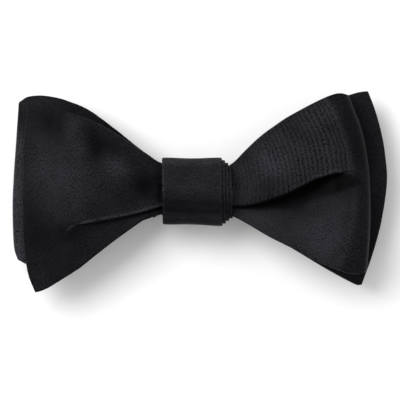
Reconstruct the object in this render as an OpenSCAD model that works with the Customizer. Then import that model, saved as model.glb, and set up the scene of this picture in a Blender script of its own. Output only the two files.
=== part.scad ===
// Ready-tied bow tie, lying on its back with its neck band folded up behind it.
// X runs along the bow, Y up the wearer's chest, Z out of the front of the knot.
// The origin is the centre of the bow's outline, on the surface that the bow lies on.

/* [Bow] */
// Length of the bow, tip to tip
bow_l = 125.2; // [118:0.2:134]
// Height of the bow at its widest
bow_h = 67; // [60:1:74]
// Thickness of a sewn wing, both plies and the interlining
wing_t = 1.2; // [1.0:0.1:1.2]
// Thickness of one ply of silk
silk_t = 0.35; // [0.25:0.05:0.35]

/* [Knot] */
// Width of the outermost turn of the knot
knot_w = 20; // [18:0.5:21]
// Height of the outermost turn
knot_h = 22.2; // [21.4:0.2:24]
// Thickness of one turn
turn_t = 0.8; // [0.6:0.1:0.8]
// How far each turn shows at the right of the one outside it
turn_step = 1.1; // [0.8:0.1:1.2]

/* [Neck band] */
// Width of the band
band_w = 14; // [13:0.2:14.2]
// Thickness of the band
band_t = 1.1; // [0.9:0.1:1.1]
// Distance of the outer folds from the middle of the bow
fold_out = 50; // [49:0.5:52]
// Distance of the inner folds from the middle
fold_in = 4; // [3:0.5:5]

/* [Metal fittings] */
// Width of the fittings across the band
fit_w = 17.2; // [17.2:0.2:18]
// Radius of the wire bars
wire_r = 0.75; // [0.6:0.05:0.75]
// Clearance between a bar and the sewn loop around it
bar_gap = 0.05; // [0.03:0.01:0.08]
// Thickness of the flat bars and plates
plate_t = 0.7; // [0.6:0.1:0.7]

/* [Hidden] */
$fn = 40;

silk = "#17171c";
lining = "#26262b";
thread = "#101013";
metal = "#b9bcc2";

// Spaces between pieces: sewn together, folded over each other, and either side of a bend.
snug = 0.05;
between = 0.3;
loose = 0.2;

// Heights above the surface, lowest layer first. The band's layers are numbered from the bow.
strap_loop_h = 2 * silk_t + plate_t;
layer3_z = strap_loop_h + between;
slide_top_z = layer3_z + band_t + 2 * snug + plate_t;
layer2_z = slide_top_z + between;
layer1_z = layer2_z + band_t + between;
stitch_t = 0.12;
knot_back_z = layer1_z + band_t + between + stitch_t;
middle_z = knot_back_z + turn_t + loose;
turn_pitch = turn_t + snug;
inner_turns_z = middle_z + band_t + loose;
waist_z = inner_turns_z + 3 * turn_pitch;
waist_h = 4;

// The knot sits a little left of centre. Each mouth is where the wings come out of it.
knot_x = -12.4;
mouth_left = knot_x - 0.5;
mouth_right = knot_x + knot_w + 3 * turn_step + 0.5;
waist_half = 6.6;

// Along the folded band: the fittings lie near the middle, their bars in sewn loops.
loop_r = 1.65;
loop_z = loop_r + 0.1;
eye_loop_x = -11.5;
eye_end_x = -4.8;
hook_loop_x = 6.85;
slide_travel = 12;
slide_l = 9;
tail_x = hook_loop_x + loop_r + slide_travel + 2 * between;
slide_x = tail_x + 2 + slide_l / 2;

// Outlines seen from the front and paths seen from the side start at a mouth of the knot.
// The first number of each point is the distance out from that mouth. Outlines give the
// height up the chest second, and paths the height above the waist.
left_reach = (bow_l / 2 + mouth_left) / 49.7;
right_reach = (bow_l / 2 - mouth_right) / 51.2;
rise = bow_h / 67;

function smooth(p, n) = [
    for (i = [0 : len(p) - 2])
        let (a = p[max(i - 1, 0)], b = p[i], c = p[i + 1], d = p[min(i + 2, len(p) - 1)])
            for (k = [0 : n - 1])
                let (u = k / n)
                    b + u / 2 * ((c - a) + u * ((2 * a - 5 * b + 4 * c - d) + u * (3 * b - a - 3 * c + d)))
];
function last(p) = p[len(p) - 1];
function backwards(p) = [for (i = [len(p) - 1 : -1 : 0]) p[i]];
function side_x(s, u) = s < 0 ? mouth_left - u * left_reach : mouth_right + u * right_reach;
function outline(s, p) = [for (q = p) [side_x(s, q[0]), q[1] * rise]];
function path(s, p) = [for (q = p) [side_x(s, q[0]), waist_z + q[1]]];
function narrowed(p, k) = [for (q = p) [q[0], q[1] * k]];

// The path p moved sideways by d.
function beside(p, d) = [
    for (i = [0 : len(p) - 1])
        let (a = p[max(i - 1, 0)], b = p[min(i + 1, len(p) - 1)], v = (b - a) / norm(b - a))
            p[i] + d * [-v[1], v[0]]
];

front_blade_outline = outline(-1, concat(
    smooth([[0, 9.3], [7.1, 12.6], [20.5, 20.5], [28.8, 24.5], [38.8, 28.5], [44.1, 28.8]], 4),
    smooth([[44.1, 28.8], [45.6, 20], [45.8, 0], [45.5, -20], [42.3, -33.5]], 3),
    smooth([[42.3, -33.5], [32.1, -28.5], [20.5, -20.2], [7.1, -9.5], [0, -6.8]], 3),
    [[0, -6.8]]
));
front_blade_path = path(-1, concat(smooth([[0, 3.0], [7, 4.6], [19, 6.8], [33, 7.6], [47, 5.6]], 4), [[47, 5.6]]));

front_loop_outline = outline(1, concat(
    smooth([[0, 8.8], [5.2, 14.2], [11.9, 19.8], [21.9, 26.5], [31.9, 31.5], [37.6, 32.4]], 4),
    smooth([[37.6, 32.4], [41.4, 28], [46, 14], [46.2, -10], [44.6, -25.5]], 3),
    smooth([[44.6, -25.5], [42, -27.2], [39.2, -27.4]], 3),
    smooth([[39.2, -27.4], [31.9, -25.2], [11.9, -15.2], [0, -8.4]], 3),
    [[0, -8.4]]
));
front_loop_path = path(1, concat(smooth([
    [0, 3.3], [8.6, 6.3], [21.6, 9.9], [31.6, 11.3], [38.6, 10.5], [43.4, 7.6], [44.8, 4.6],
    [43, 2.7], [36.6, 2.2], [23.6, 2.1], [8.6, 2.1], [0, 2.0]
], 3), [[0, 2.0]]));

// The rear bow runs from its loop on the left, through the knot, to its blade on the right.
rear_outline = concat(
    outline(-1, smooth([[47.8, 29.5], [44.5, 31.6], [39.8, 32.2], [27.1, 29.5], [13.8, 21.2], [1.1, 9.8]], 3)),
    [[knot_x + 0.5, waist_half + 0.8], [knot_x + 4, waist_half]],
    [[mouth_right - 4, waist_half], [mouth_right - 0.3, waist_half + 0.8]],
    outline(1, smooth([[2.6, 10], [22.6, 24.5], [34.6, 30.4], [44.9, 33.5]], 3)),
    outline(1, smooth([[44.9, 33.5], [48.6, 24.5], [51.2, 5.5], [48.6, -11.2], [42.4, -30.9]], 3)),
    outline(1, smooth([[42.4, -30.9], [31.9, -26.5], [11.9, -14.6], [2.6, -9]], 3)),
    [[mouth_right - 0.3, -waist_half - 0.8], [mouth_right - 4, -waist_half]],
    [[knot_x + 4, -waist_half], [knot_x + 0.5, -waist_half - 0.8]],
    outline(-1, smooth([[1.1, -8], [17.1, -14.5], [32.1, -21], [44.8, -24.2]], 3)),
    outline(-1, smooth([[44.8, -24.2], [48.5, -22.5], [50.2, -16], [50.4, -4.5], [50.2, 14], [47.8, 29.5]], 3))
);
rear_loop_path = path(-1, smooth([
    [0.2, 0.15], [15, -1.2], [32, -1.8], [43, -1.7], [47.6, -1.2], [49.1, 0.2], [47.6, 1.7],
    [41, 3.2], [27, 4.0], [13, 3.1], [0, 1.45]
], 3));
rear_blade_path = path(1, concat(
    smooth([[0, 0.75], [13.6, -0.2], [28.6, -0.9], [42.6, -1.5], [52, -1.7]], 3),
    [[52, -1.7]]
));
rear_path = concat(
    rear_loop_path,
    [[mouth_left, waist_z + 1.45], [knot_x + 1, waist_z + 1.0], [mouth_right - 3, waist_z + 1.0]],
    rear_blade_path
);

// A sheet t thick that follows a path seen from the side, cut to an outline seen from the front.
module sheet(cut, along, t) {
    intersection() {
        linear_extrude(2 * waist_z + 20) polygon(cut);
        rotate([90, 0, 0]) linear_extrude(2 * bow_h, center = true)
            polygon(concat(beside(along, t / 2), backwards(beside(along, -t / 2))));
    }
}

// Two plies of silk sewn along the edges and left open where they enter the knot.
module sewn_silk(cut, along) {
    color(silk) difference() {
        sheet(cut, along, wing_t);
        sheet(narrowed(cut, 0.93), along, wing_t - 2 * silk_t);
    }
}

// The stiffening between the plies.
module interlining(cut, along) {
    color(lining) sheet(narrowed(cut, 0.9), along, wing_t - 2 * silk_t - 2 * snug);
}

// The front bow's middle, gathered in pleats inside the knot.
module front_waist() {
    pleats = 5;
    depth = 0.25;
    low = 1.95;
    high = 3.3;
    step = waist_half / pleats;
    color(silk) translate([knot_x + 1.2, 0, waist_z]) rotate([90, 0, 90])
        linear_extrude(mouth_right - knot_x - 1.8) polygon(concat(
            [for (i = [0 : 2 * pleats]) [i * step - waist_half, high - depth * (i % 2)]],
            [for (i = [2 * pleats : -1 : 0]) [i * step - waist_half, low - depth * (i % 2)]]
        ));
}

// Rectangle w by h, centred, with corners of radius r.
module rounded(w, h, r) {
    square([w - 2 * r, h], center = true);
    square([w, h - 2 * r], center = true);
    for (a = [-1, 1], b = [-1, 1]) translate([a * (w / 2 - r), b * (h / 2 - r)]) circle(r);
}

// A turn of something t thick round the waist, from x0 to x1 and from z0 to z1, w across,
// with corners of radius r.
module wrapped(w, t, x0, x1, z0, z1, r) {
    translate([x0, 0, (z0 + z1) / 2]) rotate([90, 0, 90]) linear_extrude(x1 - x0) difference() {
        rounded(w, z1 - z0, r);
        rounded(w - 2 * t, z1 - z0 - 2 * t, r - t);
    }
}

// Thread wound round both waists before the knot goes on.
module centre_tack() {
    thread_t = 0.2;
    for (i = [0 : 2]) color(thread)
        wrapped(2 * (waist_half + thread_t + snug), thread_t, 1.2 * i - 3.6, 1.2 * i - 3, waist_z + 0.12,
            waist_z + waist_h - 0.4, thread_t + snug);
}

// Turn i of the knot's strip of silk, counted from the outside. Only the outermost holds the band.
module turn(i) {
    back = i == 0 ? knot_back_z : inner_turns_z + (i - 1) * turn_pitch;
    front = waist_z + waist_h + (4 - i) * turn_pitch;
    color(silk) wrapped(knot_h - 2 * i * turn_pitch, turn_t, knot_x + 0.3 * i, knot_x + knot_w + turn_step * i,
        back, front, min(2.2, (front - back) / 4));
}

// Slanting hand stitches that close the strip behind the knot.
module knot_back_stitches() {
    stitch_l = 1.8;
    stitch_w = 0.4;
    for (i = [-3 : 3]) color(thread)
        translate([knot_x + knot_w / 2 + 2.4 * i, 0, knot_back_z - stitch_t]) rotate(55)
            translate([-stitch_l / 2, -stitch_w / 2, 0]) cube([stitch_l, stitch_w, stitch_t]);
}

// Flat length of band from x0 to x1 with its underside at z.
module band(x0, x1, z) {
    color(silk) translate([x0, -band_w / 2, z]) cube([x1 - x0, band_w, band_t]);
}

module bar_hole(x) {
    translate([x, 0, loop_z]) rotate([90, 0, 0])
        cylinder(r = wire_r + bar_gap, h = band_w + 2, center = true);
}

// Sewn loop for a wire bar at x.
module bar_loop(x) {
    translate([x, 0, loop_z]) rotate([90, 0, 0]) cylinder(r = loop_r, h = band_w, center = true);
}

// The left arm's end, turned back round the eye's bar and sewn down.
module band_left_3() {
    turned_back = 16;
    color(silk) difference() {
        union() {
            translate([-fold_out, -band_w / 2, layer3_z]) cube([fold_out + eye_loop_x, band_w, band_t]);
            translate([eye_loop_x - turned_back, -band_w / 2, 0]) cube([turned_back, band_w, band_t]);
            bar_loop(eye_loop_x);
        }
        bar_hole(eye_loop_x);
    }
}

// Short strap from the slide to the hook, turned back round a bar at each end.
module hook_strap() {
    end_x = slide_x + 1.4;
    color(silk) difference() {
        union() {
            translate([hook_loop_x, -band_w / 2, 0]) cube([slide_x - hook_loop_x, band_w, band_t]);
            translate([end_x - 2.8, -band_w / 2, 0]) cube([2.8, band_w, strap_loop_h]);
            bar_loop(hook_loop_x);
        }
        bar_hole(hook_loop_x);
        translate([slide_x - 0.8, -band_w, silk_t - snug / 2]) cube([1.6, 2 * band_w, plate_t + snug]);
    }
}

// Row of thread across the band at x, from z up by h.
module bar_tack(x, z, h) {
    stitches = 11;
    step = (band_w - 1) / stitches;
    for (i = [0 : stitches - 1]) color(thread)
        translate([x - 0.5, (i + 0.25) * step - (band_w - 1) / 2, z]) cube([1, step / 2, h]);
}

// Ladder of three bars. The band runs under the outer two and over the middle one.
module adjuster_slide() {
    rail = 1.3;
    outer_bar = 1.2;
    middle_bar = 1.4;
    color(metal) {
        for (s = [-1, 1]) {
            translate([slide_x - slide_l / 2, s * (fit_w - rail) / 2 - rail / 2, silk_t])
                cube([slide_l, rail, slide_top_z - silk_t]);
            translate([slide_x + s * (slide_l - outer_bar) / 2 - outer_bar / 2, 0.5 - fit_w / 2, slide_top_z - plate_t])
                cube([outer_bar, fit_w - 1, plate_t]);
        }
        translate([slide_x - middle_bar / 2, 0.5 - fit_w / 2, silk_t]) cube([middle_bar, fit_w - 1, plate_t]);
    }
}

// Round bar at x0 with a side arm at each end that runs to x1.
module wire_frame(x0, x1) {
    arm = 1.2;
    translate([x0, 0, loop_z]) rotate([90, 0, 0]) cylinder(r = wire_r, h = fit_w, center = true);
    for (s = [-1, 1])
        translate([min(x0, x1), s * (fit_w - arm) / 2 - arm / 2, loop_z - wire_r])
            cube([abs(x1 - x0), arm, 2 * wire_r]);
}

// Hook whose tongue curls under and leaves room for the eye's bar.
module hook() {
    cross_x = hook_loop_x - 5.4;
    tongue_w = 8;
    curl_r = 1.5;
    curl_x = cross_x - 3.7;
    top_z = loop_z + wire_r + plate_t;
    curl_z = top_z - curl_r;
    color(metal) {
        wire_frame(hook_loop_x, cross_x);
        translate([cross_x, -fit_w / 2, loop_z - wire_r]) cube([1.6, fit_w, 2 * wire_r]);
        translate([curl_x, -tongue_w / 2, top_z - plate_t]) cube([cross_x + 1.6 - curl_x, tongue_w, plate_t]);
        translate([curl_x, -tongue_w / 2, curl_z - curl_r]) cube([2.6, tongue_w, plate_t]);
        translate([curl_x, 0, curl_z]) rotate([90, 0, 0]) difference() {
            cylinder(r = curl_r, h = tongue_w, center = true);
            cylinder(r = curl_r - plate_t, h = tongue_w + 1, center = true);
            translate([0, -curl_r, -tongue_w]) cube([curl_r, 2 * curl_r, 2 * tongue_w]);
        }
    }
}

// Rectangular wire eye that the hook catches.
module eye() {
    color(metal) {
        wire_frame(eye_loop_x, eye_end_x);
        translate([eye_end_x, 0, loop_z]) rotate([90, 0, 0]) cylinder(r = wire_r, h = fit_w, center = true);
    }
}

sewn_silk(front_blade_outline, front_blade_path);  // front_blade_silk
interlining(front_blade_outline, front_blade_path);  // front_blade_interlining
front_waist();
sewn_silk(front_loop_outline, front_loop_path);  // front_loop_silk
interlining(front_loop_outline, front_loop_path);  // front_loop_interlining
sewn_silk(rear_outline, rear_path);  // rear_bow_silk
interlining(rear_outline, rear_path);  // rear_bow_interlining
centre_tack();
turn(0);  // knot_outer_turn
turn(1);  // knot_second_turn
turn(2);  // knot_third_turn
turn(3);  // knot_inner_turn
knot_back_stitches();
band(-fold_out, fold_out, middle_z);  // band_middle
band(fold_in, fold_out, layer1_z);  // band_right_1
band(fold_in, fold_out, layer2_z);  // band_right_2
band(tail_x, fold_out, layer3_z);  // band_right_3
band(-fold_out, -fold_in, layer1_z);  // band_left_1
band(-fold_out, -fold_in, layer2_z);  // band_left_2
band_left_3();
bar_tack(eye_loop_x - 12, band_t, layer3_z - band_t);  // band_left_tack
adjuster_slide();
hook_strap();
bar_tack(hook_loop_x + 6, band_t, stitch_t);  // hook_strap_tack
hook();
eye();
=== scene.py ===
"""Looks of the bow tie, built round the CAD frame: silk wings, wound knot, neck band and metal fittings.

Lengths are in millimetres until make_mesh turns them into metres. A wing's points are found from r, which
goes from 0 at the knot to 1 at its tip, and w, from 0 at its low edge to 1 at its high edge.
"""

import math

import bpy
import numpy as np
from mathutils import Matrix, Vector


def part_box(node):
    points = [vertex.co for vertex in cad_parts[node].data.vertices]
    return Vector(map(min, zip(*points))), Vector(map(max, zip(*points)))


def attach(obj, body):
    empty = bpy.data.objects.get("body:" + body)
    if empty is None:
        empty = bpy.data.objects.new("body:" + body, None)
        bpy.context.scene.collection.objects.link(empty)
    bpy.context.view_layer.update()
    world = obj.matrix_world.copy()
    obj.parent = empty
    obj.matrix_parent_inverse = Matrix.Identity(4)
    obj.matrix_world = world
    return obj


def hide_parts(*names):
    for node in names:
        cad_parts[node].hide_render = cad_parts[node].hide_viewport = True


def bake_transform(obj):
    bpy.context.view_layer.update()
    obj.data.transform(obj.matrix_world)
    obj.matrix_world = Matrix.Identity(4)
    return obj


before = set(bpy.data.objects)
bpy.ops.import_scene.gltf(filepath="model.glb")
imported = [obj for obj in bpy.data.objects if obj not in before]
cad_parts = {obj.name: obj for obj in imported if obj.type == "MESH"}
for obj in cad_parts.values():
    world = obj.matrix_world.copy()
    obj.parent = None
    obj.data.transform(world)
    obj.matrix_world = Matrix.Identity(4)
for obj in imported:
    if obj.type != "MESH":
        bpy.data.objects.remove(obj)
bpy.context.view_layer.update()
MM = 0.001


# ---------------------------------------------------------------- places from the frame
def cad(node):
    """Lowest and highest corners of a CAD node, in millimetres."""
    low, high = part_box(node)
    return np.array(low) / MM, np.array(high) / MM


LEFT_MOUTH = cad("front_blade_silk")[1][0]  # where the front wings leave the knot
RIGHT_MOUTH = cad("front_loop_silk")[0][0]
WAIST_Z = cad("front_waist")[0][2] - 1.7  # height from which the wings' own heights are measured
WING_T = 1.1  # silk on both faces and the edge folded in
LINING_T = 0.35


# ---------------------------------------------------------------- camera
def make_camera():
    height, view_w, sensor = 1.2, 0.13333, 36
    measured_at = 0.016  # height above the floor at which the view is view_w wide
    middle = (0.00017, -0.003)
    data = bpy.data.cameras.new("camera")
    data.sensor_width = sensor
    data.lens = sensor * (height - measured_at) / view_w
    data.clip_start, data.clip_end = 0.01, 20
    cam = bpy.data.objects.new("camera", data)
    cam.location = (*middle, height)
    bpy.context.collection.objects.link(cam)
    bpy.context.scene.camera = cam


make_camera()


# ---------------------------------------------------------------- curves and surfaces
def catmull(points, n):
    """Smooth curve through the points, with n steps from each to the next."""
    p = np.asarray(points, float)
    p = np.concatenate([2 * p[:1] - p[1:2], p, 2 * p[-1:] - p[-2:-1]])
    out = []
    for i in range(1, len(p) - 2):
        a, b, c, d = p[i - 1 : i + 3]
        for k in range(n):
            u = k / n
            bend = (2 * a - 5 * b + 4 * c - d) + u * (3 * b - a - 3 * c + d)
            out.append(b + u / 2 * ((c - a) + u * bend))
    out.append(p[-2])
    return np.array(out)


def along(points, t):
    """Points at the fractions t of a smooth curve's length."""
    c = catmull(points, 12)
    s = np.concatenate([[0], np.cumsum(np.linalg.norm(np.diff(c, axis=0), axis=1))])
    s /= s[-1]
    return np.stack([np.interp(t, s, c[:, k]) for k in range(c.shape[1])], -1)


def smoothstep(a, b, x):
    t = np.clip((x - a) / (b - a), 0, 1)
    return t * t * (3 - 2 * t)


class Outline:
    """A wing seen from the front, filled in smoothly between its four edges."""

    def __init__(self, low, high, tip, knot):
        self.low, self.high, self.tip, self.knot = low, high, tip, knot

    def at(self, r, w):
        low, high = along(self.low, r), along(self.high, r)
        knot, tip = along(self.knot, w), along(self.tip, w)
        r, w = r[..., None], w[..., None]
        corners = [np.array(c, float) for c in (self.low[0], self.low[-1], self.high[0], self.high[-1])]
        flat = (1 - r) * (1 - w) * corners[0] + r * (1 - w) * corners[1]
        flat = flat + (1 - r) * w * corners[2] + r * w * corners[3]
        return (1 - w) * low + w * high + (1 - r) * knot + r * tip - flat


def peak(x, middle, width):
    """Smooth bump, 1 at its middle."""
    return np.exp(-(((x - middle) / width) ** 2))


def hollow(x, y, cx, cy, rx, ry, turn=0):
    """Smooth round patch, 1 in its middle, rx by ry across, its long side turned by degrees."""
    a = math.radians(turn)
    u = (x - cx) * math.cos(a) + (y - cy) * math.sin(a)
    v = (y - cy) * math.cos(a) - (x - cx) * math.sin(a)
    return np.exp(-((u / rx) ** 2) - (v / ry) ** 2)


def patches(x, y, marks):
    """Sum of round patches, each given as its strength and then as for hollow."""
    return sum(strength * hollow(x, y, *place) for strength, *place in marks)


def ridge(x, y, line, width):
    """Smooth ridge along a line of points, 1 on the line."""
    c = catmull(line, 10)
    p = np.stack([x, y], -1)
    best = np.full(x.shape, 1e9)
    for a, b in zip(c[:-1], c[1:]):
        d = b - a
        t = np.clip(((p - a) @ d) / max(d @ d, 1e-9), 0, 1)
        best = np.minimum(best, np.linalg.norm(p - a - t[..., None] * d, axis=-1))
    return np.exp(-((best / width) ** 2))


def normals(mid, ring=False):
    if ring:
        wide = np.concatenate([mid[:, -2:], mid, mid[:, :2]], axis=1)
        n = np.cross(np.gradient(wide, axis=0), np.gradient(wide, axis=1))[:, 2:-2]
    else:
        n = np.cross(np.gradient(mid, axis=0), np.gradient(mid, axis=1))
    return n / np.maximum(np.linalg.norm(n, axis=-1, keepdims=True), 1e-9)


def cloth_lengths(mid, ring):
    """Place of each grid point on the flat cloth: along its middle, and across or round it."""
    middle = mid[:, mid.shape[1] // 2]
    steps = np.linalg.norm(np.diff(middle, axis=0), axis=-1)
    along_it = np.concatenate([[0], np.cumsum(steps)])
    u = np.broadcast_to(along_it[:, None], mid.shape[:2])
    v = mid[..., 1]
    if ring:
        around = np.cumsum(np.linalg.norm(np.diff(mid, axis=1, append=mid[:, :1]), axis=-1), 1)
        u, v = mid[..., 0], around
    return u, v


def make_mesh(name, points, faces, lengths=None, shade=None):
    data = bpy.data.meshes.new(name)
    data.from_pydata([tuple(p) for p in np.asarray(points) * MM], [], faces)
    data.validate()
    if lengths is not None:
        values = np.zeros((len(points), 3), np.float32)
        values[:, :2] = lengths
        data.attributes.new("cloth", "FLOAT_VECTOR", "POINT").data.foreach_set("vector", values.ravel())
        values = np.zeros((len(points), 3), np.float32)
        values[:, :2] = (1, 0) if shade is None else shade
        data.attributes.new("shade", "FLOAT_VECTOR", "POINT").data.foreach_set("vector", values.ravel())
    data.polygons.foreach_set("use_smooth", [True] * len(data.polygons))
    obj = bpy.data.objects.new(name, data)
    bpy.context.collection.objects.link(obj)
    return obj


def face_pairs(nu, nv, ring):
    """Faces of the two sides of a cloth, whose points follow one another in memory."""
    count = nu * nv
    faces = []
    for i in range(nu - 1):
        for j in range(nv if ring else nv - 1):
            k = (j + 1) % nv
            a, b, c, d = i * nv + j, (i + 1) * nv + j, (i + 1) * nv + k, i * nv + k
            faces.append((a, b, c, d))
            faces.append((count + a, count + d, count + c, count + b))
    return faces


def rims(nu, nv, ring):
    """The open borders of a grid, as lists of (i, j)."""
    if ring:
        return [[(0, j) for j in range(nv)], [(nu - 1, j) for j in range(nv)][::-1]]
    border = [(0, j) for j in range(nv - 1)]
    border += [(i, nv - 1) for i in range(nu - 1)]
    border += [(nu - 1, j) for j in range(nv - 1, 0, -1)]
    border += [(i, 0) for i in range(nu - 1, 0, -1)]
    return [border]


def unit(v):
    return v / np.maximum(np.linalg.norm(v, axis=-1, keepdims=True), 1e-9)


def outward(mid, rim, rim_normals, ring):
    """Directions in the cloth's plane that point away from it, along a rim."""
    nu, nv = mid.shape[:2]
    out = np.zeros((len(rim), 3))
    for k, (i, j) in enumerate(rim):
        if i in (0, nu - 1):
            out[k] += unit(mid[i, j] - mid[1 if i == 0 else nu - 2, j])
        if not ring and j in (0, nv - 1):
            out[k] += unit(mid[i, j] - mid[i, 1 if j == 0 else nv - 2])
    out -= (out * rim_normals).sum(-1, keepdims=True) * rim_normals
    return unit(out)


def bands(rows):
    """Faces between rows of points that run round a rim."""
    faces = []
    for upper, lower in zip(rows[:-1], rows[1:]):
        for k in range(len(upper)):
            j = (k + 1) % len(upper)
            faces.append((int(upper[k]), int(upper[j]), int(lower[j]), int(lower[k])))
    return faces


def shell(name, mid, thick=WING_T, ring=False, edge=1.0, rounds=4, shade=None):
    """Closed cloth with rounded edges round a grid of middle points.

    A ring closes on itself along the grid's second axis. edge is how far the rounded edge stands out, in
    half thicknesses, and rounds how many faces it takes. shade holds the painted light and shade and the rib
    at each point.
    """
    if shade is None:
        shade = np.broadcast_to([1.0, 0.0], (*mid.shape[:2], 2))
    nu, nv = mid.shape[:2]
    n = normals(mid, ring)
    half = np.broadcast_to(np.asarray(thick, float) / 2, (nu, nv))[..., None]
    u, v = cloth_lengths(mid, ring)
    place = np.concatenate([np.stack([u, v], -1), shade], -1).reshape(-1, 4)
    count = nu * nv
    points = [(mid + n * half).reshape(-1, 3), (mid - n * half).reshape(-1, 3)]
    marks = [place, place]
    faces = face_pairs(nu, nv, ring)
    base = 2 * count
    for rim in rims(nu, nv, ring):
        idx = np.array([i * nv + j for i, j in rim])
        up = n.reshape(-1, 3)[idx]
        out = outward(mid, rim, up, ring)
        h = half.reshape(-1, 1)[idx]
        rows = [idx]
        for a in math.pi * np.arange(1, rounds) / rounds:
            points.append(mid.reshape(-1, 3)[idx] + up * h * math.cos(a) + out * h * edge * math.sin(a))
            marks.append(place[idx])
            rows.append(np.arange(base, base + len(rim)))
            base += len(rim)
        rows.append(idx + count)
        faces += bands(rows)
    marks = np.concatenate(marks)
    return make_mesh(name, np.concatenate(points), faces, marks[:, :2], marks[:, 2:])


# ---------------------------------------------------------------- pleats across a wing
def across(w_lip, depth, tuck, lip, open_, n_low=26, n_fold=9, n_high=34):
    """Fractions across a row of cloth and heights, with one pleat whose upper cloth laps over the lower.

    w_lip is where the lip is, depth how far the lower cloth sinks, and tuck how far it goes in behind the
    lip, as a fraction of the row. lip is the height of the upper cloth's edge, and open_ goes from 0, no
    pleat, to 1.
    """
    flat = w_lip + np.linspace(-0.045, 0.045, 7)
    folded = w_lip + np.array([-0.02, 0.55 * tuck, tuck, 0.75 * tuck, 0.2 * tuck, -0.012, 0.022])
    heights = np.array([-0.96 * depth, -depth, -0.55 * depth, 0.25 * lip, 0.35 * lip, 0.6 * lip, lip])
    w = [0.0, 0.5 * (w_lip - 0.045), *(flat + (folded - flat) * open_)]
    w += [w_lip + 0.35 * (1 - w_lip), w_lip + 0.7 * (1 - w_lip), 1.0]
    h = [0.0, -0.45 * depth * open_, *(heights * open_), 0.75 * lip * open_, 0.25 * lip * open_, 0.0]
    steps = np.array([n_low, n_low, *([n_fold] * 6), n_high // 2, n_high // 2, n_high // 2])
    knots = np.concatenate([[0], np.cumsum(steps)])
    p = np.array([w, h]).T
    slope = np.gradient(p, knots, axis=0)
    out = []
    for k, n in enumerate(steps):
        u = (np.arange(n) / n)[:, None]
        ease = u * u * (3 - 2 * u)
        bend = n * ((u**3 - 2 * u**2 + u) * slope[k] + (u**3 - u**2) * slope[k + 1])
        out.append(p[k] * (1 - ease) + p[k + 1] * ease + bend)
    return np.concatenate([*out, p[-1:]]).T


def lip_fraction(outline, r, line):
    """How far across the wing the line lies, for each r."""
    line = catmull(line, 12)
    line = line[np.argsort(line[:, 0])]
    low, high = along(outline.low, r), along(outline.high, r)
    y = np.interp((low[:, 0] + high[:, 0]) / 2, line[:, 0], line[:, 1])
    return (y - low[:, 1]) / (high[:, 1] - low[:, 1])


# ---------------------------------------------------------------- the wings
# Outlines are in millimetres in the shared frame, seen from the front. The low and high edges run from the
# knot outwards, and the tip and the knot run from the low edge to the high one.
front_blade_outline = Outline(
    low=[(-9, -7.0), (-11.8, -7.9), (-13.2, -7.2), (-15.2, -8.3), (-16.8, -8.0), (-19.8, -9.9),
         (-27.8, -15.6), (-33.8, -20.2), (-39.8, -25), (-45.7, -28.8), (-51, -32.0), (-54.4, -33.3)],
    high=[(-9, 7.6), (-13.8, 9.3), (-17.2, 11.6), (-22.2, 14.8), (-29.8, 19.8), (-36.8, 23.3), (-45.2, 26.3),
          (-50.2, 27.8), (-53.8, 28.3), (-56.4, 28.0)],
    tip=[(-54.4, -33.3), (-56.4, -28.3), (-57.4, -23), (-58.1, -15), (-58.3, -5), (-58.2, 5), (-57.9, 15),
         (-57.2, 23.7), (-56.4, 28.0)],
    knot=[(-9, -7.0), (-9, 7.6)],
)
front_loop_outline = Outline(
    low=[(7, -6.5), (11.8, -8.2), (16.8, -10.9), (23.5, -14.8), (33.5, -19.8), (40.2, -23.3), (47.5, -26.2),
         (52.0, -27.2), (55.2, -26.4)],
    high=[(7, 6.3), (11.4, 9.0), (15.2, 12.8), (20.2, 17.5), (25.2, 21.2), (30.2, 24.5), (40.2, 29.8),
          (46.0, 31.9), (49.3, 31.4)],
    tip=[(55.2, -26.4), (56.2, -14.4), (56.4, -2.8), (55.7, 8.9), (53.4, 20.6), (49.3, 31.4)],
    knot=[(7, -6.5), (7, 6.3)],
)
rear_loop_outline = Outline(
    low=[(-8.5, -6.2), (-14, -7.6), (-22, -10.6), (-30, -14.3), (-40, -18.6), (-50, -22.2), (-57, -24.0),
         (-60.4, -22.6)],
    high=[(-8.5, 6.6), (-14, 9.4), (-20, 13.6), (-27.5, 19.6), (-36.8, 26.4), (-44.2, 29.6), (-48.5, 30.8),
          (-53.3, 31.4), (-57.6, 30.9), (-60.0, 29.3)],
    tip=[(-60.4, -22.6), (-61.6, -18.0), (-62.0, -5), (-61.6, 5), (-61.0, 14), (-60.4, 23), (-60.0, 29.3)],
    knot=[(-8.5, -6.2), (-8.5, 6.6)],
)
rear_blade_outline = Outline(
    low=[(7, -6.2), (14, -8.6), (23.3, -14), (33, -19.8), (43, -25.8), (52, -30.6), (54.0, -30.9)],
    high=[(7, 6.2), (14, 9.8), (24, 17.6), (34, 24.6), (44, 29.4), (52, 32.2), (56.1, 33.0)],
    tip=[(54.0, -30.9), (57.4, -21.3), (60.4, -10), (62.2, 3), (61.6, 12), (60.6, 18.3), (58.6, 26),
         (56.1, 33.0)],
    knot=[(7, -6.2), (7, 6.2)],
)


def gathers(w, r, count, depth, phase=0.0, reach=0.35):
    """Pleats that fan out from the knot and fade outwards."""
    fade = np.exp(-r / reach) * smoothstep(0, 0.04, r)
    return depth * fade * np.sin(2 * math.pi * (count * w + phase)) * np.sin(math.pi * w) ** 0.5


def grid_row(xy, z, w, r):
    return np.concatenate([xy, z[:, None], w[:, None], r[:, None]], -1)


PLAIN_POINTS = 153  # points across a wing that has no pleat


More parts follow.
